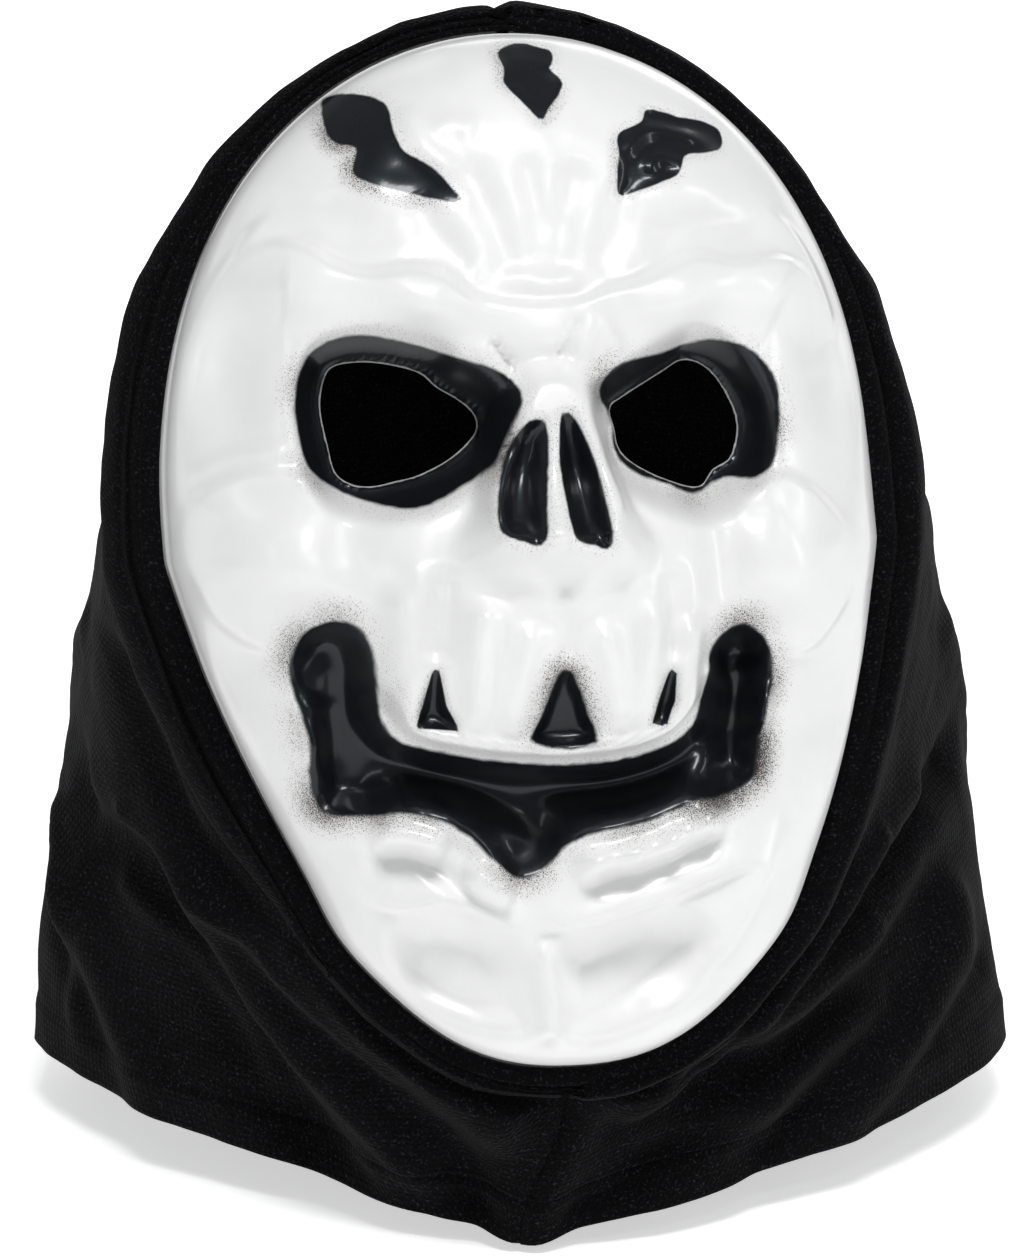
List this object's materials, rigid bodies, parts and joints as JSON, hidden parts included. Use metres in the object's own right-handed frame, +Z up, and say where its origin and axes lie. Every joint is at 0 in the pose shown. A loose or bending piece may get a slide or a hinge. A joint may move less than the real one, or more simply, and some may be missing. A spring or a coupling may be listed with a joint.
{
  "type": "skull mask with hood",
  "caption": "Thin moulded skull face with cut eye holes, set in the front of a soft draped hood that covers the head and neck.",
  "frame": {"origin": "inside of the hood's crown, where a head carries it", "axes": "+Z up, from the neck to the crown; the face looks along -Y; +X to the right of a viewer who faces the mask"},
  "size_m": [0.2638, 0.2757, 0.3084],
  "materials": {
    "face_plastic": "gloss white, with airbrushed gloss black",
    "hood_fabric": "matt black knit"
  },
  "bodies": {
    "root": {"mask_shell": "face_plastic", "face_casing": "hood_fabric", "hood_left": "hood_fabric", "hood_right": "hood_fabric"}
  },
  "joints": []
}
